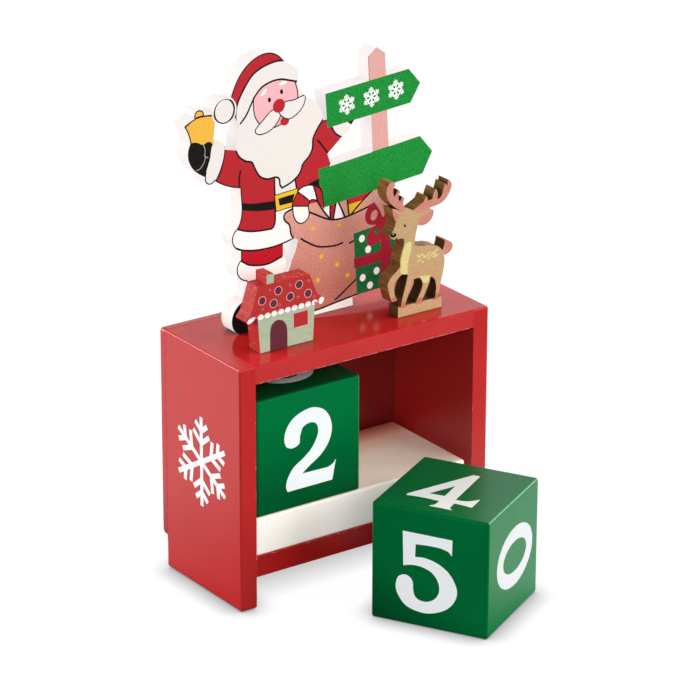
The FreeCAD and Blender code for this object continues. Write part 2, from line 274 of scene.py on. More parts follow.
def trace(start, *stretches):
    """A closed outline. Stretches of one point and the side that closes it are straight, others smooth."""
    path = [start]
    for stretch in stretches:
        path += [stretch[0]] if len(stretch) == 1 else curve_through([path[-1], *stretch])[1:]
    return path[:-1] if math.dist(path[0], path[-1]) < 1e-6 else path


def blob(*points):
    """A smooth closed outline through points."""
    wrapped = curve_through([points[-2], points[-1], *points, points[0], points[1]])
    first = wrapped.index(min(wrapped, key=lambda p: math.dist(p, points[0])))
    last = max(i for i, p in enumerate(wrapped) if math.dist(p, points[0]) < 1e-9)
    return wrapped[first:last]


def turned(points, x, z, tilt):
    """Points turned by tilt degrees about their origin, which lies at x, z."""
    turn = math.radians(tilt)
    return [(x + u * math.cos(turn) - v * math.sin(turn), z + u * math.sin(turn) + v * math.cos(turn))
            for u, v in points]


def oval(x, z, wide, tall, tilt=0.0):
    count = max(10, int(5 * (wide + tall)))
    ring = [(wide * math.cos(a), tall * math.sin(a)) for a in (2 * math.pi * i / count for i in range(count))]
    return turned(ring, x, z, tilt)


def pen(width, path, overlap=0.4):
    """A line drawn along a path, as a run of short strips that overlap at the bends."""
    strips = []
    for (ax, az), (bx, bz) in zip(path, path[1:]):
        reach = math.dist((ax, az), (bx, bz))
        if reach > 1e-6:
            ux, uz = (bx - ax) / reach * width / 2, (bz - az) / reach * width / 2
            ax, az, bx, bz = ax - overlap * ux, az - overlap * uz, bx + overlap * ux, bz + overlap * uz
            strips.append([(ax + uz, az - ux), (bx + uz, bz - ux), (bx - uz, bz + ux), (ax - uz, az + ux)])
    return strips


def line(width, *points):
    """A smooth drawn line through points."""
    return pen(width, curve_through(list(points), 0.5) if len(points) > 2 else list(points))


def border(width, path):
    return pen(width, [*path, path[0]])


def star(x, z, reach, tips=5, waist=0.45):
    return [(x + r * math.cos(a), z + r * math.sin(a)) for r, a in (
        (reach * (waist if i % 2 else 1), math.radians(90 + 180 * i / tips)) for i in range(2 * tips))]


def snowflake(x, z, reach, width, tilt=0.0):
    """Six plain arms, each with two pairs of twigs that branch off at 52 degrees."""
    quads = []
    for k in range(6):
        arm = math.radians(tilt + 60 * k)
        tip = (x + reach * math.cos(arm), z + reach * math.sin(arm))
        quads += line(width, (x, z), tip)
        for place, twig in ((0.42, 0.36), (0.7, 0.26)):
            root = (x + place * reach * math.cos(arm), z + place * reach * math.sin(arm))
            for side in (-1, 1):
                a = arm + side * math.radians(52)
                end = (root[0] + twig * reach * math.cos(a), root[1] + twig * reach * math.sin(a))
                quads += line(width, root, end)
    return quads


def front_outline(node):
    """The edge loops of a node's flat front face, on its sheet in millimetres."""
    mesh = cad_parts[node].data
    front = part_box(node)[0].y

    def drawn(index):
        place = mesh.vertices[index].co
        return (round((place.x - case_middle) / MM + SHEET_MIDDLE, 4), round((place.z - case_top) / MM, 4))

    sides = set()
    for face in mesh.polygons:
        if all(abs(mesh.vertices[i].co.y - front) < 1e-6 for i in face.vertices):
            corners = [drawn(i) for i in face.vertices]
            sides.update(zip(corners, corners[1:] + corners[:1]))
    after = {a: b for a, b in sides if (b, a) not in sides}
    loops = []
    while after:
        here = min(after)
        loop = []
        while here in after:
            loop.append(here)
            here = after.pop(here)
        loops.append(loop)
    return loops


def area(path):
    return sum(a[0] * b[1] - b[0] * a[1] for a, b in zip(path, path[1:] + path[:1])) / 2


def painted(name, layers, place, body, base=(), base_coat=None):
    """One flat mesh from (coat, closed paths) layers. Later layers cover earlier ones, None leaves
    the surface bare, and nothing is painted outside the base, when one is given."""
    points, faces, coats = [], [], []
    for coat, paths in [(base_coat, base), *layers]:
        for path in paths:
            if abs(area(path)) > 1e-4:
                faces.append(list(range(len(points), len(points) + len(path))))
                points += [Vector(p) for p in (path if area(path) > 0 else path[::-1])]
                coats.append(coat)
    corners, _, cells, _, _, owners = delaunay_2d_cdt(points, [], faces, 1, 1e-5)
    used = list(dict.fromkeys(coat for coat in coats if coat))
    kept, slots = [], []
    for cell, own in zip(cells, owners):
        if not own or (base and sum(i < len(base) for i in own) != 1):
            continue
        top = coats[max(own)]
        if top:
            kept.append(cell)
            slots.append(used.index(top))
    painted_corners = {old: new for new, old in enumerate(sorted({i for cell in kept for i in cell}))}
    mesh = bpy.data.meshes.new(name)
    mesh.from_pydata([place(*corners[i]) for i in painted_corners], [],
                     [[painted_corners[i] for i in cell] for cell in kept])
    for coat in used:
        mesh.materials.append(coat)
    mesh.polygons.foreach_set("material_index", slots)
    mesh.update()
    piece = bpy.data.objects.new(name, mesh)
    bpy.context.scene.collection.objects.link(piece)
    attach(piece, body)


def print_on(node, name, layers, base_coat):
    """Prints layers on a sawn figure's front, clipped by the figure's own outline."""
    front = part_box(node)[0].y - PRINT_LIFT

    def place(x, z):
        return (case_middle + (x - SHEET_MIDDLE) * MM, front, case_top + z * MM)

    painted(name, layers, place, "case", front_outline(node), base_coat)


# Numerals, drawn upright on the 40 mm face of a cube: filled outlines, then open counters
NUMERALS = {
    0: ([oval(19.6, 21.2, 10.1, 14.2)], [oval(19.6, 21.2, 5.2, 9.2)]),
    1: ([trace((12.4, 5.2), [(27.8, 5.2)], [(27.8, 8)], [(25, 8.3), (23.2, 9.8)], [(23.2, 33.2)],
               [(20.4, 33.2)], [(17.6, 30.2), (12, 28.6)], [(12, 26.2)], [(17.2, 26.6)], [(17.2, 9.8)],
               [(15.4, 8.3), (12.4, 8)])], []),
    2: ([trace((11.8, 6.3), [(29.1, 6.3)], [(30.5, 13.2)], [(29.2, 11.8), (27.4, 11.1)], [(17.5, 11.3)],
               [(19.9, 13.1), (24.7, 16.2), (27.7, 19.8), (28.9, 24.1), (28, 28.4), (25.4, 31.6), (20.8, 33.1),
                (15.2, 31.7), (11.9, 28.8), (10.6, 25), (11.4, 21.9), (13.9, 20.9), (16.3, 21.9), (16.6, 24.3)],
               [(17.8, 27.2), (20.7, 28.1), (23.1, 26.9), (23.5, 23.6), (21.4, 19.6), (18.4, 16.9),
                (14.2, 14.2), (12, 11.2), (11.2, 8.4), (11.8, 6.3)])], []),
    3: ([trace((10.6, 27.4), [(12.6, 31.2), (18.6, 33.2), (25, 31.7), (27.7, 27.3), (26.2, 23), (22.6, 20.6)],
               [(27.4, 17.8), (29.4, 13.2), (27.2, 8.2), (21.4, 5.3), (14.6, 5.6), (10.4, 8.8), (9.9, 12.2),
                (12.2, 14.2), (14.8, 13.2)], [(15.8, 10.4), (19, 9), (22.4, 10.6), (23.4, 14), (21, 17.4),
               (16.6, 18.6)], [(16.6, 21.8)], [(20.4, 22.6), (22.2, 25.4), (21.3, 28.6), (18.6, 29.6),
               (16.2, 28.4)], [(15.4, 25.8), (13, 24.8), (11, 25.6), (10.6, 27.4)])], []),
    4: ([trace((20.6, 32.4), [(23, 32.4)], [(23.3, 12.4)], [(25.3, 12.4), (27.6, 13.2), (30.2, 15.8)], [(30.3, 9)],
               [(25.3, 9.6), (24.1, 9.5)], [(24.1, 7.7)], [(24.3, 5.8), (25.6, 4.6)], [(17.4, 4.6)],
               [(18.8, 6.4), (19, 9.3)], [(13.3, 9.6), (7.7, 9.2)], [(7.6, 10.4)])],
        [trace((18.9, 22), [(19, 13.6)], [(13.8, 13.4)])]),
    5: ([trace((10.8, 32.1), [(27.8, 32)], [(27.7, 26.5)], [(26.4, 27.8), (23.6, 28.5), (20, 28.6)],
               [(15.3, 28.3)], [(15.1, 23.9)], [(18.6, 24.1), (23.2, 22.9), (27.2, 20), (29.5, 15.5), (29, 11.6),
                (26.2, 8), (22, 5.8), (17.6, 5.1), (12.4, 6.3), (9.5, 9.5), (8.5, 12.8), (9.4, 16), (11.5, 17.1),
                (13.4, 16.6), (14.4, 15), (14.5, 12.9)], [(15.1, 10.5), (16.9, 9.2), (19.7, 9.3), (22.2, 10.9),
                (23.5, 13.7), (23, 16.9), (20.8, 19.6), (17.2, 20.9), (13.8, 20.9), (11.1, 20.2)])],
        []),
    6: ([trace((27, 28.2), [(24.8, 32), (19.8, 33.2), (14.2, 30.2), (10.4, 23.4), (9.9, 15.4), (12.2, 8.8),
                            (17.8, 5.3), (24.4, 5.9), (28.9, 10.2), (29.4, 15.8), (26.4, 20.6), (21.2, 22.3),
                            (16.2, 20.4)],
               [(16.6, 24.8), (18.8, 28.6), (21.4, 29.4), (22.6, 27.6)], [(24, 26), (26.2, 26.4), (27, 28.2)])],
        [oval(20.1, 13.7, 4.2, 4.9)]),
    7: ([trace((10.6, 32.4), [(29.4, 32.4)], [(29.4, 29.4)], [(24.6, 22.4), (21, 14.4), (19.8, 5.1)],
               [(13.4, 5.1)], [(14.6, 13.4), (18.8, 21.4), (24.2, 27.4)], [(15.4, 27.4)],
               [(12.4, 26.8), (11.2, 24.2)], [(9.8, 24.2)])], []),
    8: ([oval(20.4, 26.8, 8.5, 6.7), oval(20.6, 14.4, 9.8, 7.8)],
        [oval(20.4, 27.2, 3.9, 3.2), oval(20.6, 14.2, 4.8, 3.9)]),
}


def number_cube(name, body, middle, turn, faces, coats):
    """Paints a numeral on each face of a cube. faces holds (numeral, outward direction, up
    direction) in the cube's own directions, before it is turned about the vertical, and coats
    the numerals whose white isn't the plain one."""
    spin = Matrix.Rotation(math.radians(turn), 3, "Z")
    for numeral, out, up in faces:
        out, up = spin @ Vector(out), spin @ Vector(up)
        across = up.cross(out)
        centre = middle + out * (CUBE * MM / 2 + PRINT_LIFT)

        def place(x, z):
            return centre + across * ((x - CUBE / 2) * MM) + up * ((z - CUBE / 2) * MM)

        filled, counters = NUMERALS[numeral]
        coat = coats.get(numeral, numeral_white)
        painted(f"{name}_{numeral}", [(coat, filled), (None, counters)], place, body)


# Printed figures
def make_inks():
    """Each ink's two tones lie a little either side of the printed colour."""
    tones = {
        "cream": ("#DAD1CC", "#DDD9D3"), "red": ("#AD2027", "#B62830"), "deep_red": ("#B10F1E", "#BB1928"),
        "black": ("#120F10", "#211C1C"), "outline": ("#1A1012", "#2A1C1F"), "pink": ("#EBAAAF", "#EFB8BC"),
        "amber": ("#E7AA3A", "#EEB849"), "yellow": ("#E7B421", "#EEC02D"), "salmon": ("#CC8778", "#E6AA9A"),
        "tan": ("#CE8D7A", "#DCA493"), "post": ("#D1958B", "#DEABA3"), "green": ("#046E22", "#259940"),
        "gift": ("#045728", "#197F40"), "crimson": ("#9C0E28", "#B1213A"), "white": ("#D5D1CF", "#DAD7D5"),
        "grey": ("#9F9A9B", "#B4AFB0"),
    }
    made = {}
    for name, pair in tones.items():
        pale, dark = name in ("cream", "white"), name in ("black", "outline")
        level = 0.08 if dark else 0.2 if name == "green" else 0.25
        # Cream and white glow, a painted light
        made[name] = ink("print_" + name, *pair, glow=0.42 if pale else 0, level=level)
    # The cream is painted brighter below the belt than up in the beard, a painted light on the hem, and the sack's
    # salmon darker and redder toward its foot, a painted shade
    shade_toward(made["cream"], UP, case_top_mm + 34, case_top_mm + 44, "#E9E9E9")
    shade_toward(made["salmon"], UP, case_top_mm + 34, case_top_mm + 9, "#E2CAC2")
    return made


def santa_figure(c):
    """Coat, arm, belt, hem, leg and boot, and the bell in the mitten."""
    cuff = blob((8.5, 65.2), (10.6, 65.6), (12.2, 64.6), (12.3, 61.4), (11.1, 57.1), (8.8, 53), (6.3, 51.6),
                (4.9, 53.4), (5.7, 56.8), (7.1, 60.8), (7.6, 63.8))
    mitten = blob((-3, 66), (1.4, 67), (4.5, 65.7), (6.3, 66.3), (8, 65.2), (8.2, 61), (6.4, 55.6), (2, 54), (-4, 58))
    front = trace((31.1, 50), [(31.3, 43.8), (31.4, 35.9), (30.9, 33.6), (30.2, 32.8)], [(30.2, 26)], [(42, 26)],
                  [(39.8, 44.3)], [(39, 50)])
    hem_top = [(30.2, 32.8), (26.3, 33), (22.4, 33.5), (19.3, 34.4), (16.2, 35.8)]
    hem_foot = [(16.4, 29.1), (19.3, 27.8), (24.4, 26.8), (30.2, 26.6), (34.1, 27), (38.2, 27.7)]
    buckle = [(31.2, 43.7), (40.2, 44.3), (38.6, 38.6), (31.8, 38.2)]
    trouser_foot = [(18, 24.7), (21.9, 22.3), (28.2, 21.3), (33.9, 22.6)]
    return [
        (c["red"], [[(12.3, 68), (11.6, 59), (8.9, 53), (7, 48), (50, 44), (66, 60), (64, 70), (44, 72)],
                    [(15, 56), (14, 30), (38, 25), (44, 34), (52, 56)]]),
        (c["amber"], [[(-4, 74), (-1, 64), (8.6, 64), (9.6, 77), (3, 80), (-1, 78)]]),
        (c["outline"], line(PEN, (-2.4, 72.4), (1.3, 74.5), (5, 74.9), (9.3, 74.3))),
        (c["black"], [mitten]),
        (c["grey"], line(0.25, (4.6, 65.9), (5.3, 63.8), (5.1, 61.8), (6.4, 61.2))
         + line(0.25, (5.5, 61.6), (4.7, 59.6), (3.2, 58), (1.7, 57.8))),
        (c["outline"], line(PEN, (12.6, 62.4), (11.4, 57), (8.8, 52.2))
         + line(PEN, (18.4, 54.5), (17.9, 52.1), (17.9, 48.2)) + line(PEN, (47.7, 58.9), (49.4, 56.8), (51.6, 53.8))),
        (c["cream"], [cuff, front, [(53.2, 61.6), (54.6, 59.6), (57.1, 57.4), (62, 61), (60, 66), (52, 66)]]),
        (c["outline"], line(PEN, (53, 62.4), (54.6, 59.8), (57.3, 57.8))),
        (c["black"], [[(59.4, 62.6), (60.9, 61.4), (64, 62), (62, 66), (59, 66)]]),
        (c["outline"], line(0.35, (6.2, 51.8), (4.9, 53.4), (5.6, 56.4))
         + line(PEN, (31.1, 50), (31.3, 43.8), (31.4, 35.9), (30.9, 33.6), (30.2, 32.8))
         + line(PEN, (39, 48.2), (39.6, 44.4))),
        (c["cream"], [trace((30.2, 32.8), hem_top[1:], [(12, 36)], [(12, 28)], hem_foot[1:], [(40, 33)])]),
        (c["outline"], line(PEN, *hem_top) + line(PEN, *hem_foot)),
        (c["black"], [trace((17, 44.4), [(20.9, 43.1), (24.4, 42.5), (31.4, 41.9)], [(31.4, 39.1)],
                            [(28.3, 39.3), (24.8, 39.8), (20.9, 40.7), (17, 42)]),
                      [(44.4, 44.2), (50, 46.4), (50, 42.4), (46.5, 43)]]),
        (c["yellow"], [buckle]), (c["outline"], border(0.3, buckle)),
        (c["black"], [[(32.6, 42.3), (39, 42.8), (37.9, 40), (33.1, 39.9)]]),
        (c["deep_red"], [trace((15, 29.3), [(19.3, 27.5), (24.4, 26.5), (30.2, 26.3), (36, 27)], [(36, 20)],
                               [(15, 20)])]),
        (c["cream"], [trace((14, 24), [*trouser_foot, (37, 23)], [(37, 16)],
                            [(28.3, 16), (20.3, 17), (14, 18)])]),
        (c["black"], [trace((12, 17), [(20.3, 17), (24.4, 16.3), (28.3, 16), (34, 16.8)], [(34, -1)], [(12, -1)])]),
        (c["outline"], line(PEN, *trouser_foot)),
    ]


def santa_head(c):
    """Hat, beard, and a plain face of dots and ovals."""
    beard_left = [(16.7, 62), (16.9, 60.9), (18.1, 58.9), (20.4, 57.2), (22.7, 56.3), (24.2, 53.3), (25.8, 51),
                  (28.5, 49.7), (31.6, 49.7), (33, 48.8), (33.3, 46.8), (34.1, 45.6)]
    beard_right = [(34.1, 45.6), (38.2, 47.1), (40.9, 49.3), (42.1, 52.1), (44.3, 54), (45.7, 56.5), (46, 59.8),
                   (47.6, 62.6), (50.2, 65.8)]
    brim_foot = [(18.2, 69.6), (20.6, 72.1), (22.7, 75.7), (24, 77.8), (26.7, 80.3), (30.6, 81.5), (34, 81.5),
                 (36.7, 80.7), (40.2, 79.6)]
    brim_top = [(35, 87.5), (32.1, 87.7), (29.1, 87.3), (26, 86.4), (22.9, 84.6), (19.9, 80.9), (17.5, 76.7),
                (16.7, 72.8), (17, 70.6)]
    face = blob((23.4, 76), (24.2, 70.6), (27.6, 67), (32.4, 66.4), (37.2, 69), (40, 73.6), (39.6, 78.2), (37, 82.5),
                (30, 83.5), (25, 80.5))
    cheek = blob((33.2, 72), (30.2, 71.9), (27, 69.4), (24, 66.6), (25.4, 65), (28.8, 65.2), (31.8, 67), (33.6, 69.8))
    other_cheek = blob((33.2, 72), (35.4, 73.8), (38.8, 73.9), (42.8, 74.6), (42.4, 71.6), (39.8, 69), (36.6, 68),
                       (33.6, 69.8))
    pompom = oval(12.5, 75.1, 3.7, 4)
    return [
        (c["red"], [[(18.6, 69), (12, 74), (10, 88), (24, 96), (36, 95), (40, 86), (30, 82), (22, 74)]]),
        (c["outline"], border(0.85, front_outline("santa_signpost_plate")[0])),
        (c["cream"], [[*beard_left, *beard_right[1:], (54, 70), (46, 84), (25, 83), (18.6, 76), (17, 71),
                       (16.8, 66)]]),
        (c["outline"], line(PEN, *beard_left) + line(PEN, *beard_right)),
        (c["pink"], [face]), (c["outline"], border(0.4, face)),
        (c["red"], [oval(35.2, 67.6, 1.7, 1.5)]),
        (c["cream"], [cheek]), (c["outline"], border(0.38, cheek)),
        (c["cream"], [other_cheek]), (c["outline"], border(0.38, other_cheek)),
        (c["red"], [oval(33, 73, 2.3, 2.3)]),
        (c["black"], [oval(29.4, 75.6, 0.6, 0.85, 12), oval(34, 77.4, 0.6, 0.85, 12)]),
        (c["white"], [oval(27.4, 78.4, 1.6, 0.55, 40), oval(34.6, 80.1, 1.6, 0.55, 8)]),
        (c["cream"], [[*brim_foot, (43, 79), (43, 90), (38, 90), *brim_top]]),
        (c["outline"], line(PEN, *brim_foot) + line(PEN, *brim_top)),
        (c["cream"], [oval(12.5, 75.1, 4.6, 4.8)]), (c["outline"], border(PEN, pompom)),
    ]


def sack_and_gifts(c):
    """Parcels in the sack's mouth, the sack with the mitten on it, and the spotted gift."""
    rim = [(44.4, 35.4), (46.5, 34.3), (51.6, 31.6), (55.8, 30.7), (60.5, 31.1), (67.5, 32.5), (73, 34)]
    side = [(38.1, 37.9), (36.9, 37.5), (35.3, 37), (34.7, 35.6), (35.4, 34.1), (36.6, 33), (37.1, 31.6), (37.4, 29.5),
            (38.5, 27.7)]
    foot = [(33.6, 1), (47.1, 1.5), (54.6, 2.4), (63.2, 3.4)]
    sleeve = trace((37.9, 38.4), [(38.2, 40.2), (40, 42.9)], [(42.4, 41.2), (44.7, 39)], [(44.1, 37.4)])
    grip = trace((38.1, 38.7), [(38.4, 35.6), (39.6, 33.2), (41.2, 32.3), (43, 32.6), (44.4, 34.4), (44.1, 37.5)])
    bow = blob((73.4, 26.6), (71.6, 31.2), (69.4, 33.3), (67.3, 32), (66.3, 29.4), (67.2, 26.8), (70, 25.8))
    other_bow = [(147.2 - x, z + 0.6) for x, z in bow]
    tail = blob((73, 26.4), (69.6, 25.2), (67.2, 22.6), (67.5, 19.6), (70, 19), (72.6, 20.4), (73.6, 24.6))
    stars = ((45.9, 29.6), (56.2, 28.6), (49.2, 19.4), (55.4, 15.4), (47.8, 11.6), (59.4, 10.8))
    spots = ((65.1, 22.1), (67.6, 17.9), (65.5, 8.6), (68.4, 5.4), (71, 9.8), (79.4, 21.4), (81.6, 9), (78.4, 6.2))
    return [
        (c["tan"], [[(44.4, 38.1), (47.4, 38.4), (54, 30), (44, 33)]]),
        (c["white"], [trace((40.3, 43.3), [(41.2, 44), (42.6, 44.4), (44, 44.4), (46.2, 43.8)], [(47.5, 38.8)],
                            [(44.7, 39.1)]), [(49.8, 37), (52.6, 36.4), (52.6, 31)],
                      [(55.1, 38), (59, 30), (53.4, 30)]]),
        (c["red"], [[(46.2, 45.6), (50, 46), (50.4, 35), (47.5, 38.4)],
                    [(52.6, 38), (55.2, 38), (53.7, 30), (52.4, 30)],
                    [(44.2, 38.2), (45.2, 39.3), (47.4, 39.1), (47.8, 38.1)]]),
        (c["tan"], [[(55.4, 38), (59.2, 38), (60, 30), (58, 30)],
                    [(70, 38.5), (80, 38), (80, 30), (61, 30), (65.6, 34.9)]]),
        (c["yellow"], [[(59.2, 38), (66, 38), (66.4, 35.4), (61, 30.4), (60, 30.4)]]),
        (c["red"], [[(58.7, 38), (70, 38.8), (65.6, 35.2), (59.3, 34.8)]]),
        (c["black"], [[(43.3, 44.5), (45.6, 45.3), (48.2, 45.9), (48.6, 43), (47.6, 43.1), (46.2, 43.9)]]),
        (c["outline"], line(PEN, (46.2, 43.8), (47.1, 40.8), (47.8, 38.2), (49.8, 35), (52.5, 31.4))
         + line(0.5, (40.3, 43.4), (41.2, 44.1), (42.6, 44.5), (44, 44.5))
         + line(0.45, (44.4, 39), (45.3, 39.4), (46.6, 39.1), (47.8, 38.4))
         + line(0.55, (47.6, 43.3), (48.9, 42.4), (49.6, 40.3), (50.3, 36))
         + line(PEN, (52.6, 37.5), (52.6, 31.5)) + line(PEN, (55.1, 37.5), (53.8, 31))
         + line(PEN, (55.3, 37.5), (58.4, 31))
         + line(PEN, (59.1, 38), (60, 31)) + line(PEN, (60.4, 31), (65.8, 35.4), (69.8, 38.2))),
        (c["salmon"], [[*side, (40.2, 27), (36, 16), (30, 0), *foot[1:], (84, 6), (84, 33), *rim[::-1], (38, 38)]]),
        (c["cream"], [[*foot, (63.2, -1), (33.6, -1)]]),
        (c["outline"], line(PEN, *side) + line(PEN, *rim) + line(PEN, *foot)
         + line(PEN, (41.2, 27.2), (43.2, 25.7), (48, 23), (54, 22), (57.6, 22.3))
         + line(PEN, (60.1, 21.6), (61.9, 22.1))
         + line(PEN, (54.6, 3.4), (57, 4.8), (60, 6.8), (63.2, 8.8))),
        (c["yellow"], [star(x, z, 1.2) for x, z in stars]),
        (c["red"], [sleeve]), (c["outline"], border(0.45, sleeve)),
        (c["cream"], [grip]), (c["outline"], border(0.45, grip)),
        (c["gift"], [[(61.8, 24.5), (63.3, 3), (86, 4), (86, 27)]]),
        (c["white"], [oval(x, z, 1.2, 1.3) for x, z in spots]),
        (c["crimson"], [[(62, 15.9), (62.2, 12.4), (86, 13.6), (86, 17.1)],
                        [(72.4, 27), (72.9, 2), (76.6, 2), (76.2, 27)], bow, other_bow, tail]),
        (c["gift"], [oval(71, 23.4, 1.2, 0.9, 50)]),
        (c["salmon"], [oval(69.9, 29.1, 1.3, 1.8, -24), oval(77.4, 29.7, 1.3, 1.8, 24)]),
        (c["crimson"], [oval(73.6, 26.5, 1.5, 1.4)]),
    ]


def arrow_board(x, z, length, height, tip, tilt):
    """A sign board with a pointed right end; x, z is its lower left corner."""
    return turned([(0, 0), (length, 0), (length + tip, height / 2), (length, height), (0, height)], x, z, tilt)


def signpost(c):
    """A pink post with two green arms; three snowflakes stand on the upper one."""
    lower = arrow_board(49.4, 35.8, 39.9, 13, 4.4, 5.4)
    worn_end = [(48, 49.1), (48.4, 43.6), (49.4, 42.6), (49.8, 40.3), (50.4, 35.8)]
    return [
        (c["post"], [[(70.2, 33), (76.8, 33), (73.8, 86), (67.2, 86)]]),
        (c["green"], [arrow_board(51.5, 62.1, 32.6, 11.5, 4.2, 4.2), [*lower[1:4], *worn_end]]),
        (c["white"], [quad for k in range(3) for quad in snowflake(59 + 9.6 * k, 68.5 + 0.7 * k, 3.3, 0.5, 34)]),
    ]


def house_print(c):
    """Pale green walls, a spotted red roof, and a white piped edge along the eaves."""
    spots = ((14.4, 17.4), (20.5, 19.5), (18.7, 15.6), (25, 16.5), (28.4, 19.8), (31.8, 16.1))
    specks = ((14.5, 14.6), (17.3, 20.4), (21, 14.6), (25, 20.4), (28, 15.7), (32, 20.3), (34.2, 14.5))
    door = trace((17.3, -1), [(17.3, 6.3)], [(17.8, 8.3), (19.2, 9.5), (20.7, 9.7), (22.4, 8.9), (23.6, 7),
                 (23.9, 4.8)], [(23.9, -1)])
    scallops = [oval(13.8 + 2.57 * k, 12.05 + 0.06 * k, 1.14, 0.94) for k in range(9)]
    eave_end = blob((11.8, 12.5), (10.4, 12.6), (9.1, 12), (8.7, 11.2), (9.3, 10.6), (10.3, 10.8), (11.2, 11.6))
    return [
        (c["roof"], [[(6, 11.7), (40, 12.3), (40, 26), (6, 26)], [(6, 9), (12.3, 9), (12.3, 12.4), (6, 12)],
                     [(34.5, 9), (40, 9), (40, 13), (34.5, 13)]]),
        (c["wall"], [[(12.9, -1), (12.3, 12.3), (34.4, 12.3), (34.6, -1)],
                     [(15.9, 22.5), (18.9, 22.5), (18.9, 27), (15.9, 27)]]),
        (c["ring"], [oval(x, z, 1.5, 1.5) for x, z in spots] + [oval(x, z, 0.44, 0.4) for x, z in specks]),
        (c["plum"], [oval(x, z, 1.28, 1.28) for x, z in spots] + [oval(x, z, 0.34, 0.3) for x, z in specks]),
        (c["wall"], border(0.7, door)), (c["plum"], [door]),
        (c["ring"], [[(26.1, 10.6), (31.85, 10.75), (31.85, 5.6), (26.2, 5.5)]]),
        (c["window"], [[(26.25, 10.45), (31.7, 10.6), (31.7, 5.75), (26.35, 5.65)]]),
        (c["piping"], scallops + [eave_end, oval(36.9, 12.6, 1.05, 1.3, -20)]),
    ]


def reindeer_print(c):
    """Tan coat with pink antlers, ears, hooves and tail, a pale chest, and flecks on the rump."""
    flecks = (((74.3, 19.9), (74.9, 19.2), (75.5, 19.2), (76.3, 19.9)), ((76.7, 19.4), (77.5, 18.6)),
              ((76.9, 18.4), (78.1, 18.8), (78.8, 19.4), (79.6, 19.9)), ((78.5, 17.8), (79.2, 18.1), (80.1, 19)),
              ((80.4, 17.9), (81.8, 18), (82.8, 18.4)), ((80.3, 19.2), (81.2, 19.4), (81.8, 19.8), (82.6, 20.3)),
              ((80.7, 18.6), (81.7, 18.6)), ((74.7, 17.7), (75.3, 17.8), (75.9, 18.3)), ((76.5, 16.8), (76.8, 17.3)))
    return [
        (c["antler"], [
            [(60, 38.2), (64.2, 38.2), (65.7, 37.4), (67.1, 35.9), (68.5, 35.4), (69.2, 36.2), (70.2, 37), (72, 39),
             (72, 50), (60, 50)],
            [(73.4, 36.3), (72.9, 35.2), (74.4, 34), (76.8, 34.4), (79.2, 35), (92, 34), (92, 48), (74, 44)],
            trace((64.4, 37.1), [(65.9, 36), (67.2, 35)], [(66.6, 33.4), (65.2, 32.6)], [(64, 34)]),
            trace((74.4, 30.8), [(75.2, 32.1), (77.1, 33), (78.8, 33.5), (81, 34)],
                  [(81, 31), (79, 29.4), (77, 29), (74.4, 29.8)]),
            trace((86.3, 22.8), [(84.7, 21.3), (84.5, 19.5), (86.3, 17.2)], [(92, 17)], [(92, 24)]),
            trace((66.4, 13.2), [(65.2, 12.6), (64.8, 11), (65.2, 9.6)], [(65.8, 10.4), (66.2, 11.8), (66.4, 13.2)]),
            trace((72.2, 11.8), [(71.9, 10), (71.2, 8.4), (70.8, 6.4)], [(72, 8), (73.2, 10), (73.4, 11.9)])]),
        (c["hoof"], [[(63, 7.1), (66.8, 7.5), (67.2, 4), (63, 4)],
                     blob((67.5, 3.1), (70, 3), (70.6, 3.8), (70.2, 4.6), (68.4, 4.9), (67.6, 4)),
                     blob((73.6, 3.1), (76.4, 3.1), (77, 4.2), (76.4, 4.9), (74.8, 5), (73.6, 4.1)),
                     blob((80.4, 3.2), (82.6, 3.1), (83.1, 4.2), (82.8, 5.2), (81.2, 4.8), (80.2, 4))]),
        (c["straw"], [blob((70.6, 25), (72.1, 24.6), (71.7, 21.6), (70.9, 18.9), (70.5, 16.2), (70.3, 14), (68, 14.9),
                           (67.8, 17.5), (68.5, 21.9), (69.6, 24.5)),
                      [(75.3, 12.4), (79.7, 11.9), (79, 9.8), (77.6, 9.5), (76.3, 10)]]),
        (c["straw"], [quad for fleck in flecks for quad in line(0.5, *fleck)]),
        (c["black"], [blob((63.4, 28.9), (64.2, 29.4), (65.3, 29.2), (66, 28.6), (65.7, 28), (64.4, 27.8)),
                      trace((65.5, 27.2), [(66.1, 27.6)], [(66.4, 26.6)])]),
        (c["grey"], [oval(64.8, 28.9, 0.42, 0.18, 10)]),
        (c["hoof"], [oval(69.4, 30.9, 0.62, 0.72)]), (c["black"], [oval(69.4, 30.9, 0.45, 0.55)]),
        (c["white"], [oval(69.6, 31.1, 0.14, 0.14)]),
    ]


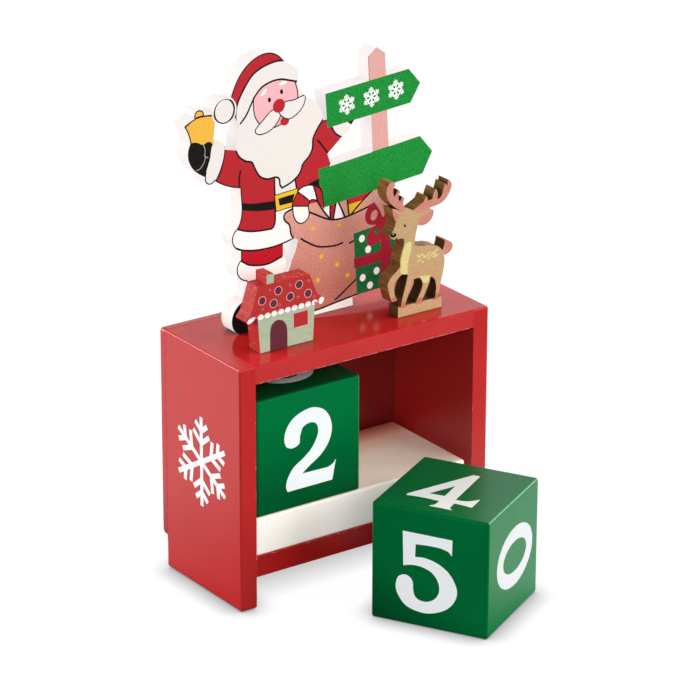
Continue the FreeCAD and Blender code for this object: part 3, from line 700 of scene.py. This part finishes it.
# Stage
def make_floor():
    """A paper floor that clears to white, with painted contact shadows. Glossy paint mirrors it bright
    behind the case and to the right, and dim in front, where the room stands dark."""
    bpy.ops.mesh.primitive_plane_add(size=8, location=(0, 0, 0))
    floor = bpy.context.object
    floor.name = "floor"
    made = bpy.data.materials.new("paper_sweep")
    made.use_nodes = True
    tree = made.node_tree
    tree.nodes.clear()
    camera_ray, glossy_ray = (add(tree, "LightPath", out=f"Is {kind} Ray") for kind in ("Camera", "Glossy"))
    x, y, _ = add(tree, "SeparateXYZ", (add(tree, "NewGeometry", out="Position"),)).node.outputs

    behind = add(tree, "MapRange", (y, 20 * MM, 110 * MM))
    right = add(tree, "MapRange", (x, 10 * MM, 50 * MM))
    beside = add(tree, "Math", (right, add(tree, "MapRange", (y, -90 * MM, -45 * MM))), operation="MULTIPLY")
    bright = add(tree, "Math", (behind, beside), operation="MAXIMUM")
    mirrored = add(tree, "MapRange", (glossy_ray, 0, 1, 1, add(tree, "MapRange", (bright, 0, 1, 0.12, 1))))

    # The painted shadow is deepest under the case, from its front edge to its back panel
    aside = add(tree, "Math", (x, case_middle), operation="SUBTRACT")
    under = add(tree, "MapRange", (add(tree, "Math", (aside,), operation="ABSOLUTE"), 47 * MM, 40 * MM))
    front = add(tree, "Math", (add(tree, "MapRange", (y, 10 * MM, 30 * MM, 0, 0.5)), under), operation="MULTIPLY")
    deep = add(tree, "Math", (front, add(tree, "MapRange", (y, 56 * MM, 50 * MM))), operation="MULTIPLY")
    # Painted contact shadows where faces stand near the floor
    clear = add(tree, "AmbientOcclusion", {"Distance": 9.5 * MM}, "AO", samples=16)
    contact = add(tree, "Math", (add(tree, "MapRange", (clear, 0.35, 0.97, 0.3, 0.98)), deep), operation="SUBTRACT")

    glow = add(tree, "Emission", ((1, 1, 1, 1), add(tree, "Math", (contact, mirrored), operation="MULTIPLY")))
    paper, bounce = (add(tree, "BsdfDiffuse", ((grey, grey, grey, 1),)) for grey in (0.05, 0.1))
    seen = add(tree, "Math", (camera_ray, glossy_ray), operation="MAXIMUM")
    lit = add(tree, "AddShader", (paper, glow))
    add(tree, "OutputMaterial", (add(tree, "MixShader", (seen, bounce, lit)),))
    floor.data.materials.append(made)


def make_world():
    """White to the camera. Gloss mirrors it brightest at the rear and on the right, as those sides of
    the room stand in the photograph, and it lights nothing itself."""
    world = bpy.data.worlds.new("studio")
    bpy.context.scene.world = world
    world.use_nodes = True
    tree = world.node_tree
    tree.nodes.clear()
    camera_ray, glossy_ray = (add(tree, "LightPath", out=f"Is {kind} Ray") for kind in ("Camera", "Glossy"))
    rightness, rearness = (
        add(tree, "VectorMath", (add(tree, "TexCoord", out="Generated"), side), "Value", operation="DOT_PRODUCT")
        for side in ((0.814, -0.581, 0), (0.581, 0.814, 0)))
    backdrop = add(tree, "MapRange", (rightness, -0.12, 0.12, 0.7, 1.8))
    mirrored = add(tree, "MapRange", (rearness, 0.3, 0.85, 0.4, backdrop))
    bright = add(tree, "MapRange", (camera_ray, 0, 1, mirrored, 1))
    seen = add(tree, "Math", (camera_ray, glossy_ray), operation="MAXIMUM")
    strength = add(tree, "MapRange", (seen, 0, 1, 0, bright))
    add(tree, "OutputWorld", (add(tree, "Background", ((1, 1, 1, 1), strength)),))


def soft_light(name, toward, power, mirrored=True):
    """A round lamp a metre across, on a dome about the object, that faces its middle. One that
    isn't mirrored lights the paint but leaves no white patch on its gloss."""
    middle, dome = Vector((0, 0, 0.06)), 1.5
    data = bpy.data.lights.new(name, "AREA")
    data.shape, data.size = "DISK", 1.0
    data.energy = power
    lamp = bpy.data.objects.new(name, data)
    lamp.visible_camera = False
    lamp.visible_glossy = mirrored
    bpy.context.scene.collection.objects.link(lamp)
    lamp.location = middle + Vector(toward).normalized() * dome
    lamp.rotation_euler = (-Vector(toward)).to_track_quat("-Z", "Y").to_euler()


# Build
bpy.context.scene.view_settings.view_transform = "Standard"
make_camera()
make_floor()
make_world()
# Each is (name, direction, watts)
for name, toward, power in (
        ("left_rear", (-0.70, 0.60, 0.40), 26.5), ("left", (-0.92, 0.05, 0.30), 4.5),
        ("right", (0.90, -0.20, 0.35), 22), ("right_rear", (0.95, 0.20, 0.30), 7.5),
        ("front_right_low", (0.60, -0.77, 0.20), 9), ("front_right_high", (0.50, -0.70, 0.50), 9),
        ("front_left", (-0.40, -0.85, 0.35), 10.5)):
    soft_light(name, toward, power, mirrored=not name.startswith("front_right"))

# Oil enamel brushed on softwood boards: a satin red over fine ribs of grain, with pale flecks on the
# arrises, paint rubbed through there and a painted highlight along them. The sides' grain stands
# upright, and their end grain, on top, is duller.
red, wear_and_highlight_red = ("#B21D1D", "#BD2525"), "#F0BDB4"
red_upright = enamel("red_enamel_upright_grain", *red, wear_and_highlight_red, (1, 1, 5), rib=0.7, top_level=0.27)
# The back panel's red turns darker where the bay closes round it: painted shade
red_lengthwise = enamel("red_enamel_lengthwise_grain", *red, wear_and_highlight_red, (14, 1, 1), painted_shade="#6E1414")
# The bottom board's red is made darker than the other boards': a painted shade
red_rail = enamel("red_enamel_bottom_board", "#A81616", "#B21C1C", wear_and_highlight_red, (14, 1, 1), level=0.3)
# The same enamel rubbed down on the top board: smoother. Its red is painted paler, a painted light
# on its front face, more pale flecks on its arrises make a painted highlight line, and a painted
# shadow darkens it round the figures' feet
red_top = enamel("red_enamel_top_painted_light", "#B72F2F", "#C23737", wear_and_highlight_red, (16, 1, 1), roughness=0.13, rib=1.2,
                 depth=0.02, level=0.19, fleck_onset=0.42, painted_shade="#4A0A0A", reach=3.5)
# Its top face is painted back down to a darker red, a painted shade, so that only the front face keeps the painted
# light
shade_toward(red_top, UP, case_top_mm - 0.5, case_top_mm - 0.2, "#F8ABAB")

# Enamel brushed on the cubes' hardwood: an even, close skin with a green sheen, duller on top, and
# painted darker toward each cube's foot and on its top face, a painted shade; under the case's top
# board the cube's top face is painted darker still, as that board's painted shadow.
green_skin = dict(stretch=(3, 3, 3), roughness=0.28, rib=0.7, depth=0.005, sheen="#00C060", level=0.28)
green_case = enamel("green_enamel_case_cube", "#006A36", "#007039", "#2F8A5C", **green_skin)
cube_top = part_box("cube_in_case")[1].z / MM
# Painted shade toward the foot, and the top board's painted shadow on the top face
shade_toward(green_case, UP, cube_top - 8, cube_top - 34, "#C8C8C8")
shade_toward(green_case, UP, cube_top - 0.7, cube_top - 0.3, "#959595")
green_table = enamel("green_enamel_table_cube", "#006332", "#006835", "#2F8A5C", turn=-TABLE_TURN,
                     top_level=0.14, **green_skin)
# Painted shade toward the lower left corner, and on the top face
shade_toward(green_table, (0.9, 0, 1), 8, -10, "#BEBEBE")
shade_toward(green_table, UP, CUBE - 0.7, CUBE - 0.3, "#EAEAEA")

# White enamel brushed on the bar: warm, and it glows a little, a painted light. Its top face is
# painted darker, and toward the back, where the bay stands round it, it is painted redder and then
# dark red: painted shade and painted red light thrown back from the bay.
white_enamel = enamel("white_enamel", "#F8F1E9", "#FBF6F0", "#FDFAF6", (12, 1, 1), depth=0.03, glow=0.15, level=0.4)
bar_back, bar_top = (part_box("white_bar")[1][axis] / MM for axis in (1, 2))
# Painted shade on the top face, and painted red light and shade toward the back
shade_toward(white_enamel, UP, bar_top - 0.5, bar_top - 0.2, "#F4E7DA")
shade_toward(white_enamel, REARWARD, bar_back - 19, bar_back - 6, "#FFD0C6")
shade_toward(white_enamel, REARWARD, bar_back - 10, bar_back, "#A64A44")

# White paint screened on the cubes: matt and cool. Its tone follows the light on each face:
# copies are made darker for the faces on top, in strong light and in shade, painted light and shade,
# and all but the copy in shade glow, a painted light.
numeral_white, numeral_shaded_top, numeral_lit = (
    enamel(name, dark, light, light, (6, 6, 1), roughness=0.45, depth=0.03, glow=0.52)
    for name, dark, light in (("numeral_white_paint", "#C3C7C7", "#CBCECF"),
                              ("numeral_paint_shaded_on_top", "#B2B4B1", "#BABAB8"),
                              ("numeral_paint_in_light", "#A6AAAA", "#ADB0B0")))
# The copy for the numeral under the top board doesn't glow: a painted shade
numeral_shaded = enamel("numeral_paint_in_shade", "#C9CCCD", "#D2D5D5", "#D2D5D5", (6, 6, 1), roughness=0.5, level=0.2)

# White primer sprayed on the sheet's edges and back: chalky, with no grain in sight. It glows, a
# painted light, because the photograph shows the edges burnt out to white, and it turns darker where
# other faces stand close, a painted shade.
primer = ink("white_primer", "#625F5E", "#646160", dot=0.8, roughness=0.6, glow=6.4, painted_shade="#5C5858", back="#E8E4E1")
# Bare plywood as the fretsaw leaves it: brown streaks of the plies along the edges, a pale back.
# Its edges turn darker where other faces stand close and below the antlers: painted shade.
wood = streaked_paint("sawn_wood_edge", ("#7C5322", "#A1713C", "#C19053"), 0.5, (3, 12, 1), painted_shade="#3A2408",
                      back=("#CC9C66", "#F3CA97"))
# Painted shade below the antlers, which leaves them paler
shade_toward(wood, UP, case_top_mm + 38, case_top_mm + 33, "#DCDCDC")
# Thin red paint brushed on the cottage's sawn edges: the wood's plies show as pale streaks
house_red = streaked_paint("house_red_paint", ("#8A1514", "#A82220", "#B02A27", "#C66A64"), 0.32, (2.2, 7, 1),
                           roughness=0.5, back=("#9E1D1B", "#AE2623"))
steel = drawn_wire("wire_steel", "#8C8E90", "#A9ABAD")

finishes = {
    "left_side_board": red_upright, "right_side_board": red_upright, "back_panel": red_lengthwise,
    "top_board": red_top, "bottom_board": red_rail, "corner_brads": steel,
    "back_panel_brads": steel, "figure_brads": steel, "santa_signpost_plate": primer, "reindeer": wood,
    "house": house_red, "white_bar": white_enamel, "cube_in_case": green_case, "cube_on_table": green_table,
}
for node, finish in finishes.items():
    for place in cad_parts[node].material_slots:
        place.material = finish

# Printed fronts of the three figures: ink printed on primer, matt, with its dots just in sight
inks = make_inks()
print_on("santa_signpost_plate", "santa_print",
         santa_figure(inks) + santa_head(inks) + sack_and_gifts(inks) + signpost(inks), inks["cream"])
house_coats = {
    "roof": ink("house_roof_print", "#A82825", "#B6322E"), "window": ink("house_window_print", "#A72629", "#B03034"),
    "plum": ink("house_plum_print", "#4E1F29", "#672F3B"), "ring": ink("house_ring_print", "#D59AA6", "#E3AEB6"),
    "piping": ink("house_piping_print", "#E8E0DB", "#F0EBE7"),
    "wall": streaked_paint("house_wall_print", ("#8CAA85", "#9CAF91", "#ABB6A3", "#A7AD83", "#93B48A"), 0.5,
                           (9, 1, 1)),
}
print_on("house", "house_print", house_print(house_coats), house_coats["wall"])
deer_coats = {
    "coat": ink("reindeer_tan_print", "#B69268", "#C19E77", dot=0.5),
    "antler": ink("reindeer_pink_print", "#BB7565", "#CB897A", dot=0.4),
    "hoof": ink("reindeer_hoof_print", "#AC654C", "#BD755C", dot=0.4),
    "straw": ink("reindeer_straw_print", "#CEC37A", "#D8CE8C", dot=0.5),
    "black": inks["black"], "grey": inks["grey"], "white": inks["white"],
}
print_on("reindeer", "reindeer_print", reindeer_print(deer_coats), deer_coats["coat"])

LEFT, RIGHT, FRONT, BACK, TOP, BOTTOM = (-1, 0, 0), (1, 0, 0), (0, -1, 0), REARWARD, UP, (0, 0, -1)
for cube, name, body, turn, faces, coats in (
        ("cube_in_case", "case_numeral", "case_cube", 0, (
            (2, FRONT, UP), (8, TOP, REARWARD), (0, RIGHT, UP), (1, BACK, UP), (6, LEFT, UP), (7, BOTTOM, REARWARD)),
         {8: numeral_shaded}),
        ("cube_on_table", "table_numeral", "table_cube", TABLE_TURN, (
            (5, LEFT, UP), (0, FRONT, RIGHT), (4, TOP, RIGHT), (1, RIGHT, UP), (2, BACK, UP), (3, BOTTOM, RIGHT)),
         {0: numeral_lit, 4: numeral_shaded_top})):
    lows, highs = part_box(cube)
    number_cube(name, body, (lows + highs) / 2, turn, faces, coats)

# The joints of the back panel, which stand through the paint as dark hairlines
left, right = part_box("left_side_board")[0].x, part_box("right_side_board")[1].x
joint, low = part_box("back_panel")[0].yz
hairline = ink("joint_hairline", "#7E2226", "#93302F", dot=0.9)
for name, length, place in (
        ("joint_line_top", right - left, lambda u, v: (left + u * MM, joint + v * MM, case_top + PRINT_LIFT)),
        ("joint_line_left", case_top - low, lambda u, v: (left - PRINT_LIFT, joint - v * MM, low + u * MM)),
        ("joint_line_right", case_top - low, lambda u, v: (right + PRINT_LIFT, joint + v * MM, low + u * MM))):
    reach, half = length / MM, 0.07
    strip = [(0, -half), (reach, -half), (reach, half), (0, half)]
    painted(name, [(hairline, [strip])], place, "case")

# A snowflake in the numerals' white paint, which glows as theirs does, a painted light, on the outside of the left
# board, drawn from its rear edge
rear_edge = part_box("left_side_board")[0].y + 46 * MM
painted("side_snowflake", [(numeral_white, snowflake(24, 44.6, 15, 1.7, 90))],
        lambda x, z: (left - PRINT_LIFT, rear_edge - x * MM, z * MM), "case")
